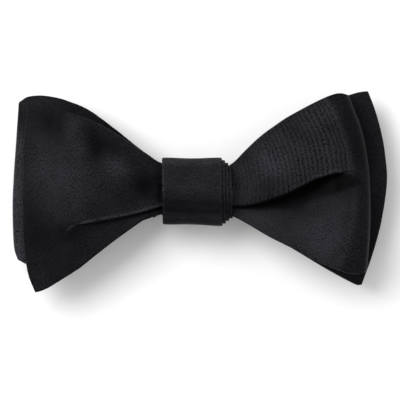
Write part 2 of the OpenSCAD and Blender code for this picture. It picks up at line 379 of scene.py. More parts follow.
def blade_rows(outline, path, rows, lip_line=None, pleat=None):
    """Grid of a flat wing's middle points, each x, y, z, w and r.

    path is its (r, height) from the knot out, and pleat(r) gives the sizes that across takes.
    """
    r_rows = np.linspace(0, 1, rows)
    path = catmull(path, 16)
    z_rows = np.interp(r_rows, path[:, 0], path[:, 1])
    grid = []
    w_lips = lip_fraction(outline, r_rows, lip_line) if lip_line is not None else None
    for k, r in enumerate(r_rows):
        if pleat is None:
            w, h = np.linspace(0, 1, PLAIN_POINTS), np.zeros(PLAIN_POINTS)
        else:
            w, h = across(w_lips[k], *pleat(r))
        xy = outline.at(np.full(w.shape, r), w)
        grid.append(grid_row(xy, z_rows[k] + h, w, np.full(w.shape, r)))
    return np.array(grid)


BLADE_LIP = [(-58, -25), (-50, -22.0), (-46.4, -18.7), (-44.8, -14.9), (-43.6, -12.8), (-41.8, -11.4),
             (-36.8, -10.0), (-27.8, -8.4), (-19.8, -6.6), (-13.2, -4.7), (-9, -3.8)]
LOOP_LIP = [(7, -4.2), (10.2, -4.9), (19.5, -3.6), (28.8, -0.3), (38.2, 4.4), (45.2, 6.3), (51.8, 5.6),
            (58, 3.4)]


def front_blade_grid():
    """The sharp-cornered front wing: one shallow pleat low down, soft hollows above it."""
    def pleat(r):
        open_ = 1 - smoothstep(0.55, 0.8, r)
        return 1.6 - 0.7 * r, 0.05, 1.2 + 0.4 * r, open_

    base = [(0, 2.7), (0.09, 3.0), (0.2, 4.6), (0.4, 6.6), (0.6, 7.5), (0.8, 7.4), (1, 6.3)]
    g = blade_rows(front_blade_outline, base, 110, BLADE_LIP, pleat)
    x, y, w, r = g[..., 0], g[..., 1], g[..., 3], g[..., 4]
    z = g[..., 2]
    z += gathers(w, r, 2.5, 0.5, 0.15, 0.25)
    z += patches(x, y, [
        (1.5, -43, 2, 13, 15),
        (-1.1, -49, 21.5, 7, 5.5, 25),
        (0.9, -41, 18.2, 5, 5),
        (-0.9, -34.2, 14.5, 8, 3.6, -68),
        (0.8, -28.5, 9.5, 5.5, 4, 30),
        (-1.6, -19.5, 2.2, 5, 3, 20),
    ])
    z -= 1.9 * smoothstep(-12, -34, y) * smoothstep(0.3, 1, r)
    z -= 1.2 * smoothstep(20, 30, y) * smoothstep(0.5, 1, r)
    z += 0.25 * np.sin(0.22 * x + 0.31 * y + 0.5) * smoothstep(0.15, 0.4, r)
    g[..., 2] = z + WAIST_Z
    return g, front_blade_shade(x, y)


def front_blade_shade(x, y):
    """Painted light and shade of the front blade, and its rib: light in its middle, a painted highlight
    beside the lip, painted shade in the hollows.
    """
    # Painted light and shade: lighter patches where the cloth faces the light, darker ones in its hollows.
    painted_shading = 0.95 + patches(x, y, [
        (0.26, -46.5, 5, 10, 14),
        (0.38, -39.8, 17.5, 4.6, 5.5, 30),
        (0.85, -28, 8.6, 5, 3.8, -30),
        (-0.5, -50, 23, 5, 4.4, 20),
        (-0.42, -46, 18.5, 5, 5),
        (-0.64, -34.4, 14.6, 8.5, 4.2, -68),
        (-0.45, -27, 12, 8, 4, -35),
        (-0.2, -31, -4, 12, 4, 12),
        (-0.42, -54.5, -12, 4.5, 10),
        (-0.2, -46.5, -13, 7, 4),
        (-0.75, -18.2, 1.2, 4.4, 3.6, 20),
        (-0.6, -13.2, 0, 1.3, 9),
    ])
    # Painted shade low down towards the tip, along the top edge and just under the lip.
    painted_shading -= 0.28 * smoothstep(-9, -15, y) * smoothstep(-58, -46, x) + 0.15 * smoothstep(-52, -57.5, x)
    painted_shading -= 0.15 * smoothstep(22, 27, y)
    above = y - np.interp(x, *np.array(BLADE_LIP).T)
    painted_shading -= 0.25 * smoothstep(0.2, -0.2, above) * smoothstep(-6.5, -1.0, above) * smoothstep(-47, -40, x)
    # Painted highlight along the lip's edge.
    painted_shading += 1.1 * ridge(x, y, BLADE_LIP[4:], 0.5) * smoothstep(-0.3, 0.2, above)
    return np.stack([np.clip(painted_shading, 0.15, 2), 0 * painted_shading], -1)


# the rim seen from the side: how far out it is, and its height between the two plies
RIM_TURN = [(0, 1), (0.32, 0.95), (0.64, 0.86), (0.88, 0.72), (0.985, 0.5), (1.0, 0.2), (0.985, 0.02),
            (0.9, -0.06), (0.7, -0.035), (0.35, -0.01), (0.0, 0.0)]


def upper_rows(outline, upper, roll, rows, pleat, lip_line, heights):
    """Rows of a folded wing's upper ply, from the knot to where it starts to roll over."""
    r_rows = np.linspace(0, 1, rows)
    w_lips = lip_fraction(outline, r_rows, lip_line) if pleat else None
    up = catmull(upper, 16)
    grid = []
    for k, t in enumerate(r_rows):
        if pleat:
            w, h = across(w_lips[k], *pleat(t))
        else:
            w, h = np.linspace(0, 1, PLAIN_POINTS), np.zeros(PLAIN_POINTS)
        r = t * roll(w)
        xy = outline.at(r, w)
        z = np.interp(r, up[:, 0], up[:, 1]) + h
        grid.append(grid_row(xy, z + heights(xy[:, 0], xy[:, 1], w, r), w, r))
    return grid


def rim_rows(outline, last, low_z, rim_h, start):
    """Rows round a folded wing's rim, from the last row of its upper ply."""
    top_z, w = last[:, 2], last[:, 3]
    grid = []
    for a, b in catmull(RIM_TURN, 4)[1:-1]:
        r = start + (1 - start) * a
        z = low_z + rim_h * min(b, 0) + (top_z - low_z) * max(b, 0)
        grid.append(grid_row(outline.at(r, w), z, w, r))
    return grid


def lower_rows(outline, lower, w, start, rows):
    """Rows of a folded wing's lower ply, back to the knot."""
    down = catmull(lower, 16)
    grid = []
    for t in np.linspace(1, 0, rows):
        r = t * start
        z = np.interp(r, down[:, 0], down[:, 1])
        grid.append(grid_row(outline.at(r, w), z, w, r))
    return grid


def loop_grid(outline, upper, lower, rim_h, roll, rows, heights, pleat=None, lip_line=None):
    """Grid of a folded wing: out along the upper ply, round the rim and back along the lower one.

    upper and lower are the plies' (r, height) from the knot out. roll(w) is how far out the upper ply starts
    to roll over, as a fraction, and rim_h how far the rim hangs below the lower ply.
    """
    grid = upper_rows(outline, upper, roll, rows, pleat, lip_line, heights)
    w = grid[-1][:, 3]
    start = roll(w)
    grid += rim_rows(outline, grid[-1], lower[-1][1], rim_h, start)
    grid += lower_rows(outline, lower, w, start, rows // 2)
    return np.array(grid)


def loop_roll(w):
    return 0.925 - 0.075 * np.abs(2 * w - 1.15) ** 2.2


def front_loop_grid():
    """The folded front wing: high and full, with one deep pleat under its upper half."""
    def pleat(r):
        open_ = smoothstep(0.0, 0.16, r) * (1 - smoothstep(0.85, 0.995, r))
        depth = 1.2 + 5.0 * math.exp(-(((r - 0.58) / 0.28) ** 2))
        return depth, 0.07 * (1 - 0.5 * r), 1.9 - 1.6 * smoothstep(0.55, 0.9, r), open_

    def heights(x, y, w, r):
        z = gathers(w, r, 2.0, 0.5, 0.4, 0.2) + patches(x, y, [
            (1.2, 36, 16, 14, 7, 35),
            (-0.9, 31, 24, 8, 2.5, 40),
            (-1.6, 16, 9, 6, 4, 40),
            (1.0, 41, -12, 9, 7, -25),
        ])
        z = z - 1.5 * smoothstep(-10, -28, y) * smoothstep(0.3, 1, r)
        z = z - 1.4 * smoothstep(22, 33, y) * smoothstep(0.4, 1, r)
        return z + 0.18 * np.sin(0.3 * x - 0.2 * y) * smoothstep(0.1, 0.4, r)

    g = loop_grid(
        front_loop_outline,
        upper=[(0, 3.1), (0.1, 3.4), (0.22, 5.4), (0.45, 8.9), (0.7, 11.0), (0.85, 11.6), (1, 11.2)],
        lower=[(0, 2.0), (0.2, 2.0), (0.5, 2.0), (0.8, 2.2), (1, 3.0)],
        rim_h=6, roll=loop_roll, rows=110, pleat=pleat, lip_line=LOOP_LIP, heights=heights,
    )
    g[..., 2] += WAIST_Z
    x, y, w, r = g[..., 0], g[..., 1], g[..., 3], g[..., 4]
    return g, front_loop_shade(x, y, w, r)


def front_loop_shade(x, y, w, r):
    """Painted light and shade of the front loop, and its rib: ribs on its upper half, painted shade under
    the lip and along the rolled rim.
    """
    below = np.interp(x, *np.array(LOOP_LIP).T) - y
    upper = smoothstep(0.3, -0.3, below / (1 + 8 * smoothstep(44, 54, x)))
    # Painted light and shade: lighter patches where the cloth turns to the light, darker where it turns
    # away.
    painted_shading = 1.05 - 0.12 * (1 - upper) + patches(x, y, [
        (0.45, 24, 9, 5, 7, 40),
        (0.25, 42, 26, 8, 4, 30),
        (0.4, 38.5, 11.5, 7, 5.5, 20),
        (0.5, 42, -17, 7, 7),
        (0.25, 20, -10, 6, 3, -30),
        (-0.2, 33, 20, 5, 8, 30),
        (-0.4, 23, 1.2, 8, 3, 25),
        (-0.22, 34.5, -6.5, 7, 2.6, -5),
        (-0.5, 12.2, 0, 1.4, 7),
        (0.25, 53, 2.5, 2.5, 3.5),
    ])
    # Painted shade in the pleat under the lip.
    reach = np.interp(x, [9, 18, 24, 30, 33.5, 36.4, 45, 51.5], [0.6, 2.8, 4.4, 7.0, 8.8, 8.2, 7.2, 4.2])
    dark = smoothstep(1.15, 0.75, below / reach) * (1 - upper) * smoothstep(54, 50, x) * smoothstep(9, 13, x)
    painted_shading = painted_shading * (1 - 0.66 * dark)
    # Painted shade along the rolled rim, a painted highlight just before it and a thin one on the rim's
    # edge.
    roll_r = loop_roll(w) - 0.03 * smoothstep(-2, 10, y)
    band = smoothstep(roll_r, roll_r + 0.03, r) * (0.5 - 0.28 * smoothstep(12, -2, y))
    painted_shading += 0.12 * peak(r, roll_r - 0.01, 0.014) - band + 0.25 * smoothstep(0.99, 0.999, r)
    # Painted highlight along the lip, and painted shade in the hollow under the lip near the pleat's end.
    painted_shading += 0.5 * peak(below, -0.5, 0.45) * smoothstep(24, 34, x) * smoothstep(52, 47, x)
    painted_shading -= 0.5 * hollow(x, y, 46, 1.6, 7, 4.0, 8) * (1 - upper)
    ribbed = upper * smoothstep(roll_r + 0.01, roll_r - 0.01, r) * (0.45 + 0.55 * smoothstep(14, 34, x))
    return np.stack([np.clip(painted_shading, 0.08, 2), ribbed], -1)


def rear_bow_grid():
    """One long wing: lower ply of the loop, its rim, upper ply, waist, then the sharp-cornered blade."""

    def heights(x, y, w, r):
        z = gathers(w, r, 2.5, 0.35, 0.3, 0.2) - 1.0 * smoothstep(14, 32, y) * smoothstep(0.5, 1, r)
        return z - 0.7 * smoothstep(-10, -24, y) * smoothstep(0.4, 1, r)

    loop = loop_grid(
        rear_loop_outline,
        upper=[(0, 1.3), (0.1, 1.4), (0.3, 2.3), (0.55, 2.9), (0.8, 2.9), (1, 2.4)],
        lower=[(0, 0.1), (0.15, 0.0), (0.4, -1.1), (0.75, -1.7), (1, -1.5)],
        rim_h=4, roll=lambda w: 0.95 - 0.03 * np.abs(2 * w - 1) ** 2, rows=70, heights=heights,
    )[::-1]
    path = [(0, 0.95), (0.12, 0.6), (0.35, 0.0), (0.6, -0.6), (1, -1.2)]
    blade = blade_rows(rear_blade_outline, path, 70)
    w, r, y = blade[..., 3], blade[..., 4], blade[..., 1]
    blade[..., 2] += gathers(w, r, 2.5, 0.35, 0.3, 0.2)
    blade[..., 2] += 1.2 * smoothstep(0.55, 1, r) * np.sin(math.pi * w) - 0.5 * smoothstep(18, 33, y) * r
    waist = []
    for t in np.linspace(0, 1, 14)[1:-1]:
        waist.append(loop[-1] + (blade[0] - loop[-1]) * t)
    g = np.concatenate([loop, np.array(waist), blade])
    g[..., 2] += WAIST_Z
    x, y = g[..., 0], g[..., 1]
    # Painted light and shade of the rear bow: a low level overall, painted light along the left loop's
    # rolled edge, towards the right and on two patches.
    painted_shading = 0.57 + 1.08 * smoothstep(-56, -60, x) * smoothstep(26, 14, y) + 0.25 * smoothstep(20, 40, x)
    painted_shading += patches(x, y, [(0.38, -55, 29.5, 9, 4.5), (0.2, 58, 2, 4, 7)])
    return g, np.stack([painted_shading, 0 * painted_shading], -1)


def inset(grid, rows_cut, cols_cut):
    """Every second point of a grid, less its borders."""
    return grid[rows_cut:-rows_cut:2, cols_cut:-cols_cut:2]


# ---------------------------------------------------------------- materials
class Nodes:
    """Short calls for building a material's nodes."""

    def __init__(self, name):
        self.mat = bpy.data.materials.new(name)
        self.mat.use_nodes = True
        self.tree = self.mat.node_tree
        self.shader = next(n for n in self.tree.nodes if n.type == "BSDF_PRINCIPLED")

    def add(self, kind, **values):
        node = self.tree.nodes.new(kind)
        for key, value in values.items():
            if hasattr(node, key):
                setattr(node, key, value)
            else:
                node.inputs[key.replace("_", " ")].default_value = value
        return node

    def link(self, a, b):
        self.tree.links.new(a, b)

    def math(self, kind, a, b=None, c=None):
        node = self.add("ShaderNodeMath", operation=kind)
        for k, value in enumerate((a, b, c)):
            if value is None:
                continue
            if isinstance(value, (int, float)):
                node.inputs[k].default_value = value
            else:
                self.link(value, node.inputs[k])
        return node.outputs[0]

    def stripes(self, vector, direction, pitch):
        """Smooth stripes from 0 to 1 across a direction, pitch millimetres apart."""
        dot = self.add("ShaderNodeVectorMath", operation="DOT_PRODUCT")
        self.link(vector, dot.inputs[0])
        size = math.hypot(*direction)
        dot.inputs[1].default_value = [d / size * 2 * math.pi / pitch for d in (*direction, 0)]
        wave = self.math("SINE", dot.outputs["Value"])
        return self.math("MULTIPLY_ADD", wave, 0.5, 0.5)

    def attribute(self, name):
        return self.add("ShaderNodeAttribute", attribute_name=name).outputs["Vector"]

    def vector(self, operation, a, b):
        """Vector sum or product, where b is a socket or a fixed vector."""
        node = self.add("ShaderNodeVectorMath", operation=operation)
        self.link(a, node.inputs[0])
        if isinstance(b, tuple):
            node.inputs[1].default_value = b
        else:
            self.link(b, node.inputs[1])
        return node.outputs[0]

    def noise(self, vector, scale, detail=3.0, rough=0.55):
        node = self.add("ShaderNodeTexNoise")
        node.inputs["Scale"].default_value = scale
        node.inputs["Detail"].default_value = detail
        node.inputs["Roughness"].default_value = rough
        self.link(vector, node.inputs["Vector"])
        return node.outputs["Fac"]

    def bump(self, height, distance, strength=1.0, normal=None):
        node = self.add("ShaderNodeBump")
        node.inputs["Strength"].default_value = strength
        node.inputs["Distance"].default_value = distance
        self.link(height, node.inputs["Height"])
        if normal is not None:
            self.link(normal, node.inputs["Normal"])
        return node.outputs["Normal"]

    def ramp(self, fac, stops):
        node = self.add("ShaderNodeValToRGB")
        ramp = node.color_ramp
        while len(ramp.elements) < len(stops):
            ramp.elements.new(0.5)
        for e, (place, colour) in zip(ramp.elements, stops):
            e.position = place
            e.color = (*colour, 1)
        self.link(fac, node.inputs[0])
        return node.outputs[0]

    def spread(self, fac, low, high):
        node = self.add("ShaderNodeMapRange")
        node.inputs["To Min"].default_value = low
        node.inputs["To Max"].default_value = high
        self.link(fac, node.inputs["Value"])
        return node.outputs[0]


RIB_PITCH = 1.64
FLOATS_PER_MM = (2.2, 1.45, 1)  # the satin's floats are longer than they are wide
SWAY_MM = 2.4
DEEP_TINT = (0.9, 0.9, 1.6)
PALE_TINT = (1.0, 0.96, 1.14)


def swayed(m, cloth):
    """Places on the cloth that wander a little, so that its lines don't look ruled."""
    sway = m.add("ShaderNodeTexNoise")
    sway.inputs["Scale"].default_value = 0.09
    sway.inputs["Detail"].default_value = 2
    m.link(cloth, sway.inputs["Vector"])
    shift = m.add("ShaderNodeVectorMath", operation="SCALE")
    shift.inputs["Scale"].default_value = SWAY_MM
    m.link(sway.outputs["Color"], shift.inputs[0])
    return m.vector("ADD", cloth, shift.outputs[0])


def silk_tone(m, ribbed, twill, rib, grain, patch, lines, speckle):
    """Where the silk stands between its dark colour and its light one."""
    lines_here = m.math("SUBTRACT", lines, m.math("MULTIPLY", ribbed, 0.2))
    speckled = m.math("MULTIPLY_ADD", m.math("SUBTRACT", grain, 0.5), speckle, 0.51)
    tone = m.math("ADD", m.math("MULTIPLY", twill, lines_here), speckled)
    tone = m.math("ADD", tone, rib)
    return m.math("ADD", tone, m.math("MULTIPLY", m.math("SUBTRACT", patch, 0.5), 0.7))


def silk_colour(m, tone, painted_shading, dark, light):
    """Cool near-black, scaled by the painted light and shade: lighter where it is painted lit, darker where
    painted shaded.
    """
    low = [dark * c for c in DEEP_TINT]
    high = [light * c for c in PALE_TINT]
    # Painted light and shade: the colour is scaled by the first value of the shade attribute.
    shaded_colour = m.add("ShaderNodeVectorMath", operation="SCALE")
    m.link(m.ramp(tone, [(0.12, low), (0.88, high)]), shaded_colour.inputs[0])
    m.link(m.math("POWER", painted_shading, 1.5), shaded_colour.inputs["Scale"])
    m.link(shaded_colour.outputs[0], m.shader.inputs["Base Color"])


def silk_gloss(m, patch, rough):
    m.link(m.spread(patch, *rough), m.shader.inputs["Roughness"])
    m.shader.inputs["Specular IOR Level"].default_value = 0.035
    m.shader.inputs["Specular Tint"].default_value = (0.94, 0.9, 1, 1)
    m.shader.inputs["Sheen Weight"].default_value = 0.006
    m.shader.inputs["Sheen Roughness"].default_value = 0.4
    m.shader.inputs["Sheen Tint"].default_value = (0.6, 0.58, 0.72, 1)


def silk_material(name, dark=0.0004, light=0.0158, rough=(0.42, 0.54), pitch=0.7, lean=(1, 1), lines=0.24,
                  ribs=0.0, speckle=2.8):
    """Black silk satin: fine twill lines, faint ribs, painted light and shade, and a soft cool sheen."""
    m = Nodes(name)
    cloth = m.attribute("cloth")
    shade = m.add("ShaderNodeSeparateXYZ")
    m.link(m.attribute("shade"), shade.inputs[0])
    # The shade attribute's first value is painted light and shade; its second is where ribs show.
    painted_shading, ribbed = shade.outputs[0], shade.outputs[1]
    wandering = swayed(m, cloth)
    twill = m.stripes(wandering, lean, pitch)
    rib = m.math("SUBTRACT", m.stripes(wandering, (1, 0), RIB_PITCH), 0.5)
    rib = m.math("MULTIPLY", rib, m.math("MULTIPLY", ribbed, ribs))
    grain = m.noise(m.vector("MULTIPLY", cloth, FLOATS_PER_MM), 1.0, 2.0, 0.7)
    patch = m.noise(cloth, 0.13, 4.0, 0.55)
    silk_colour(m, silk_tone(m, ribbed, twill, rib, grain, patch, lines, speckle), painted_shading, dark, light)
    silk_gloss(m, patch, rough)
    normal = m.bump(patch, 0.0008, 0.5)
    normal = m.bump(twill, 0.00006, 0.45, normal)
    normal = m.bump(grain, 0.0001, 0.8, normal)
    if ribs:
        normal = m.bump(rib, 0.0003, 0.5, normal)
    m.link(normal, m.shader.inputs["Normal"])
    return m.mat


def lining_material():
    """Matt charcoal canvas of the stiffening."""
    m = Nodes("stiffening_canvas")
    cloth = m.attribute("cloth")
    warp = m.stripes(cloth, (1, 0), 0.6)
    weft = m.stripes(cloth, (0, 1), 0.6)
    weave = m.math("MULTIPLY", warp, weft)
    colour = m.ramp(weave, [(0, (0.04, 0.04, 0.042)), (1, (0.1, 0.1, 0.105))])
    m.link(colour, m.shader.inputs["Base Color"])
    m.shader.inputs["Roughness"].default_value = 0.9
    m.link(m.bump(weave, 0.0001, 0.8), m.shader.inputs["Normal"])
    return m.mat


def thread_material():
    m = Nodes("black_thread")
    place = m.add("ShaderNodeTexCoord").outputs["Object"]
    twist = m.noise(place, 3000, 2)
    colour = m.ramp(twist, [(0.2, (0.006, 0.006, 0.007)), (0.8, (0.03, 0.03, 0.034))])
    m.link(colour, m.shader.inputs["Base Color"])
    m.shader.inputs["Roughness"].default_value = 0.55
    m.link(m.bump(twist, 0.00005, 0.6), m.shader.inputs["Normal"])
    return m.mat


def metal_material():
    """Nickel plate with fine brush lines and light wear."""
    m = Nodes("nickel_plate")
    place = m.add("ShaderNodeTexCoord").outputs["Object"]
    lines = m.noise(m.vector("MULTIPLY", place, (400, 5200, 5200)), 1.0, 3)
    wear = m.noise(place, 420, 4)
    m.shader.inputs["Metallic"].default_value = 1.0
    colour = m.ramp(wear, [(0.3, (0.48, 0.48, 0.5)), (0.7, (0.68, 0.68, 0.7))])
    m.link(colour, m.shader.inputs["Base Color"])
    m.link(m.spread(lines, 0.16, 0.4), m.shader.inputs["Roughness"])
    m.link(m.bump(lines, 0.00003, 0.35), m.shader.inputs["Normal"])
    return m.mat


SILK = silk_material("black_silk_satin")
BLADE_SILK = silk_material("black_silk_satin_blade", lean=(-1, 1))
LOOP_SILK = silk_material("black_silk_satin_ribbed", pitch=0.6, lean=(0.57, 0.82), lines=0.36, ribs=0.38)
KNOT_SILK = silk_material("black_silk_knot", pitch=0.95, lean=(0.54, 0.84), lines=0.14, speckle=1.7)
BAND_SILK = silk_material("black_silk_band", pitch=0.8)
LINING = lining_material()
THREAD = thread_material()
METAL = metal_material()


def finish_piece(obj, material, body, nodes=(), blend=None):
    """Material and slot of a piece, hiding the CAD nodes that it stands for. The piece goes to its body, or,
    when blend is given, has its place baked into its mesh and gets no body.
    """
    obj.data.materials.clear()
    obj.data.materials.append(material)
    if nodes:
        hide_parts(*nodes)
    if blend:
        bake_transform(obj)
    else:
        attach(obj, body)
    return obj


# ---------------------------------------------------------------- wings as pieces
left_bend = ("bow", "front_blade", (LEFT_MOUTH + 2, 0, 0), (LEFT_MOUTH - 8, 0, 0))
right_bend = ("bow", "front_loop", (RIGHT_MOUTH - 2, 0, 0), (RIGHT_MOUTH + 8, 0, 0))

blade_grid, blade_shade = front_blade_grid()
front_blade = shell("front_blade", blade_grid[..., :3], shade=blade_shade)
finish_piece(front_blade, BLADE_SILK, "front_blade", ["front_blade_silk"], left_bend)
stiff = shell("front_blade_stiffening", inset(blade_grid, 5, 6)[..., :3], LINING_T, edge=0.3)
finish_piece(stiff, LINING, "front_blade", ["front_blade_interlining"], left_bend)

folded_grid, folded_shade = front_loop_grid()
front_loop = shell("front_loop", folded_grid[..., :3], shade=folded_shade)
finish_piece(front_loop, LOOP_SILK, "front_loop", ["front_loop_silk"], right_bend)
stiff = shell("front_loop_stiffening", inset(folded_grid, 5, 6)[..., :3], LINING_T, edge=0.3)
finish_piece(stiff, LINING, "front_loop", ["front_loop_interlining"], right_bend)

rear_grid, rear_shade = rear_bow_grid()
rear_bow = shell("rear_bow", rear_grid[..., :3], shade=rear_shade)
finish_piece(rear_bow, SILK, "bow", ["rear_bow_silk"])
stiff = shell("rear_bow_stiffening", inset(rear_grid, 5, 6)[..., :3], LINING_T, edge=0.3)
finish_piece(stiff, LINING, "bow", ["rear_bow_interlining"])


def front_waist_grid():
    x = np.linspace(LEFT_MOUTH + 3, RIGHT_MOUTH - 3, 40)
    w = np.linspace(0, 1, 90)
    grid = np.zeros((len(x), len(w), 3))
    grid[..., 0] = x[:, None]
    grid[..., 1] = -6.4 + 12.8 * w
    grid[..., 2] = WAIST_Z + 2.6 + 0.18 * np.sin(2 * math.pi * 5 * w)
    return grid


waist = shell("front_waist_pleats", front_waist_grid(), 0.9)
finish_piece(waist, SILK, "bow", ["front_waist"])


# ---------------------------------------------------------------- knot
def rounded_ring(half_w, half_h, radius, n):
    """Points round a rectangle with rounded corners, evenly spaced, from the middle of its low side."""
    corners = []
    for cy, cz, start in ((1, -1, -90), (1, 1, 0), (-1, 1, 90), (-1, -1, 180)):
        for a in np.radians(start + np.linspace(0, 90, 13)):
            y = cy * (half_w - radius) + radius * math.cos(a)
            z = cz * (half_h - radius) + radius * math.sin(a)
            corners.append((y, z))
    corners = np.array([(0, -half_h), *corners, (0, -half_h)])
    s = np.concatenate([[0], np.cumsum(np.linalg.norm(np.diff(corners, axis=0), axis=1))])
    f = np.arange(n) / n * s[-1]
    return np.interp(f, s, corners[:, 0]), np.interp(f, s, corners[:, 1])


def wound(name, node, thick=0.76, lean=0.0, slope=0.0):
    """A turn of folded silk round the waist, in the place of a CAD ring."""
    low, high = cad(node)
    nx, nr = 34, 240
    a, b = (high[1] - low[1] - thick) / 2, (high[2] - low[2] - thick) / 2
    y, z = rounded_ring(a, b, min(2.4, b / 2), nr)
    u = np.linspace(0, 1, nx)[:, None]
    x = low[0] + thick / 2 + (high[0] - low[0] - thick) * u
    front = smoothstep(-0.2, 0.95, z / b)
    grid = np.zeros((nx, nr, 3))
    grid[..., 0] = x + lean * (y / a)
    grid[..., 1] = y - slope * u * smoothstep(0, -1, y / a)
    side = smoothstep(0.8, 1, np.abs(y) / a) * np.sign(y)
    grid[..., 1] -= side * (0.22 * np.sin(math.pi * u) ** 2 + 0.07 * np.sin(9 * u + 1.1 * z))
    swell = 0.35 * (1 - (y / a) ** 2) - 0.12 * np.sin(math.pi * u) * np.sin(0.55 * y + 0.8)
    swell = swell + 0.06 * np.sin(2.1 * y + 2.4 * u) * np.exp(-(((y + 4.5) / 4) ** 2))
    grid[..., 2] = (low[2] + high[2]) / 2 + z + front * (swell - 0.2)
    # Painted light and shade of the knot: lighter at the top and at the bottom edge, darker below the
    # middle, lighter towards the right, and painted highlights at both side edges.
    painted_shading = 1.06 + 0.4 * smoothstep(7.8, 9.6, y) - 0.6 * smoothstep(1.5, -5.5, y)
    painted_shading = painted_shading + 0.42 * smoothstep(-6.0, -9.0, y) + 0.16 * (u - 0.4)
    painted_shading = painted_shading + 0.2 * smoothstep(0.965, 0.995, u) + 0.3 * smoothstep(0.03, 0.005, u)
    return shell(name, grid, thick, ring=True, shade=np.stack([painted_shading, 0 * painted_shading], -1))


turns = ["knot_outer_turn", "knot_second_turn", "knot_third_turn", "knot_inner_turn"]
for k, node in enumerate(turns):
    piece = wound(f"knot_turn_{k + 1}", node, lean=-0.12 - 0.03 * k, slope=0.55)
    finish_piece(piece, KNOT_SILK, "bow", [node])


def tube(name, points, radius, closed=False, sides=10):
    """Round thread or wire along points, in millimetres."""
    p = np.asarray(points, float)
    n = len(p)
    d = (np.roll(p, -1, 0) - np.roll(p, 1, 0)) if closed else np.gradient(p, axis=0)
    d /= np.linalg.norm(d, axis=1, keepdims=True)
    side = np.cross(d[0], [0.3, 0.2, 0.93])
    verts, faces = [], []
    for k in range(n):
        side = side - (side @ d[k]) * d[k]
        side /= np.linalg.norm(side)
        up = np.cross(d[k], side)
        for j in range(sides):
            a = 2 * math.pi * j / sides
            verts.append(p[k] + radius * (math.cos(a) * side + math.sin(a) * up))
    for k in range(n if closed else n - 1):
        m = (k + 1) % n
        for j in range(sides):
            i = (j + 1) % sides
            faces.append((k * sides + j, k * sides + i, m * sides + i, m * sides + j))
    if not closed:
        faces.append(tuple(range(sides))[::-1])
        faces.append(tuple((n - 1) * sides + j for j in range(sides)))
    return make_mesh(name, verts, faces)


def joined(name, parts):
    """Several loose parts as one piece."""
    bpy.ops.object.select_all(action="DESELECT")
    for part in parts:
        part.select_set(True)
    bpy.context.view_layer.objects.active = parts[0]
    bpy.ops.object.join()
    parts[0].name = name
    parts[0].data.name = name
    return parts[0]


def waist_thread():
    low, high = cad("centre_tack")
    winds, points_a_wind = 6, 60
    t = np.linspace(0, winds * 2 * math.pi, winds * points_a_wind)
    a, b = (high[1] - low[1]) / 2 - 0.15, (high[2] - low[2]) / 2 - 0.15
    x = low[0] + 0.2 + (high[0] - low[0] - 0.4) * t / t[-1]
    y = a * np.sign(np.cos(t)) * np.abs(np.cos(t)) ** 0.3
    z = (low[2] + high[2]) / 2 + b * np.sign(np.sin(t)) * np.abs(np.sin(t)) ** 0.3
    return tube("waist_thread", np.stack([x, y, z], -1), 0.14, sides=8)


finish_piece(waist_thread(), THREAD, "bow", ["centre_tack"])


def back_stitches():
    low, high = cad("knot_back_stitches")
    parts = []
    for x in np.linspace(low[0] + 0.8, high[0] - 0.8, 9):
        t = np.linspace(-1, 1, 9)
        line = np.stack([x + 0.5 * t, 0.75 * t, high[2] + 0.08 - 0.16 * (1 - t**4)], -1)
        parts.append(tube("stitch", line, 0.12, sides=8))
    return joined("back_stitches", parts)


finish_piece(back_stitches(), THREAD, "bow", ["knot_back_stitches"])


# ---------------------------------------------------------------- neck band
band_low, band_high = cad("band_middle")
BAND_T = band_high[2] - band_low[2]
BAND_HALF = (band_high[1] - band_low[1]) / 2


def strip_grid(path, half_w, step=0.8):
    """Ribbon that follows a path seen from the side, points (x, z)."""
    path = catmull(path, 10)
    s = np.concatenate([[0], np.cumsum(np.linalg.norm(np.diff(path, axis=0), axis=1))])
    f = np.linspace(0, s[-1], int(s[-1] / step))
    x, z = np.interp(f, s, path[:, 0]), np.interp(f, s, path[:, 1])
    y = np.linspace(-1, 1, 33)
    grid = np.zeros((len(x), 33, 3))
    grid[..., 0], grid[..., 2] = x[:, None], z[:, None]
    grid[..., 1] = half_w * y
    return grid


def arc(cx, cz, radius, first, last, n=7):
    """Points round part of a circle, from one angle to another, in degrees."""
    angles = np.radians(np.linspace(first, last, n))
    return [(cx + radius * math.cos(a), cz + radius * math.sin(a)) for a in angles]


def ribbon_grid(x0, x1, z, wave=0.05, phase=0.0):
    nx = max(12, int(abs(x1 - x0)))
    x = np.linspace(x0, x1, nx)[:, None]
    y = np.linspace(-1, 1, 37)[None, :]
    grid = np.zeros((nx, 37, 3))
    grid[..., 0] = x
    grid[..., 1] = (BAND_HALF - BAND_T / 2) * y + 0.06 * np.sin(0.35 * x + phase)
    grid[..., 2] = z + wave * np.sin(0.28 * x + phase) * (1 - 0.5 * y**2)
    return grid


def ribbon_thickness(shape):
    """Fuller towards the sewn edges, where the cloth is folded in."""
    y = np.linspace(-1, 1, shape[1])[None, :]
    return np.broadcast_to(BAND_T * (0.86 + 0.12 * smoothstep(0.62, 0.8, np.abs(y))), shape)


def band_piece(node, body, phase):
    low, high = cad(node)
    x0, x1 = low[0], high[0]
    z = high[2] - BAND_T / 2
    grid = ribbon_grid(x0 + BAND_T / 2, x1 - BAND_T / 2, z, phase=phase)
    piece = shell(node.replace("band", "ribbon"), grid, ribbon_thickness(grid.shape[:2]), edge=1.0)
    finish_piece(piece, BAND_SILK, body, [node])


